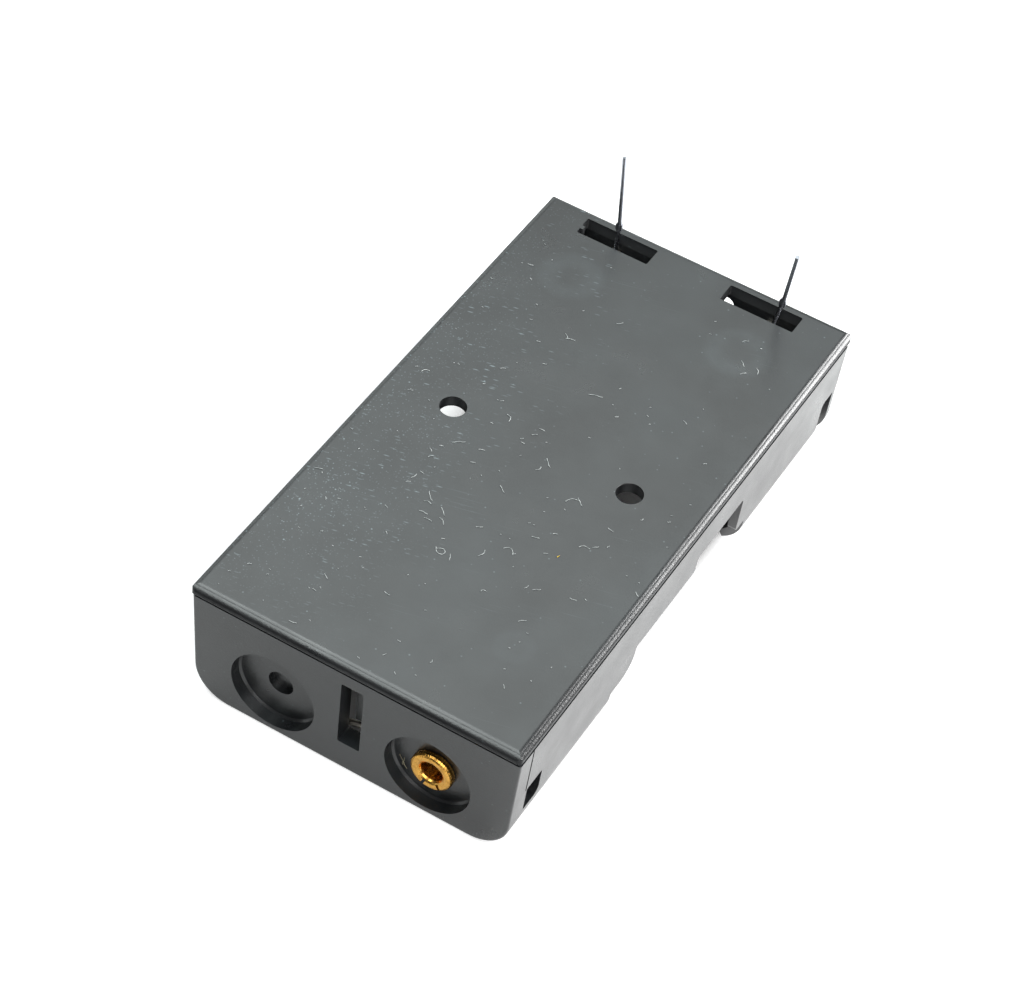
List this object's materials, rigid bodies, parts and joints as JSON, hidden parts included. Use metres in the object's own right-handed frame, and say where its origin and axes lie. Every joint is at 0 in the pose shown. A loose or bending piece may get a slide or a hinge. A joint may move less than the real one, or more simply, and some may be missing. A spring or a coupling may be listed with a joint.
{
  "type": "cylindrical cell holder",
  "caption": "Open moulded holder for cylindrical cells lying side by side, with sprung end contacts, snap-over side lips, screw holes in its flat base and wire pins for a circuit board.",
  "frame": {"origin": "bottom centre of the bounding box: the plane of the end walls' free rims, midway along and across the holder", "axes": "+X across the cells, +Y along the cells towards the pins, +Z from the open side to the mounting face of the base plate"},
  "size_m": [0.0414, 0.0776, 0.0282],
  "materials": {
    "moulding": "satin black moulding with fine dust and hairline scratches",
    "spring_wire": "nickel-plated drawn spring wire",
    "eyelet_brass": "bright pressed brass",
    "contact_plate": "nickel-plated stamped sheet",
    "tinned_lead": "bright tinned wire"
  },
  "bodies": {
    "holder": {"holder_body": "moulding", "link_eyelet": "eyelet_brass", "plus_contact": "contact_plate", "plus_lead": "tinned_lead", "minus_plate": "contact_plate", "minus_lead": "tinned_lead"},
    "link_coil": {"link_spring": "spring_wire"},
    "minus_coil": {"minus_spring": "spring_wire"}
  },
  "joints": [
    {"name": "link_spring_press", "type": "slide", "parent": "holder", "child": "link_coil", "axis": [0, -1, 0], "range_m": [0, 0.005], "stiffness_N_per_m": 500, "deforming": ["link_spring"]},
    {"name": "minus_spring_press", "type": "slide", "parent": "holder", "child": "minus_coil", "axis": [0, 1, 0], "range_m": [0, 0.005], "stiffness_N_per_m": 500, "deforming": ["minus_spring"]}
  ]
}
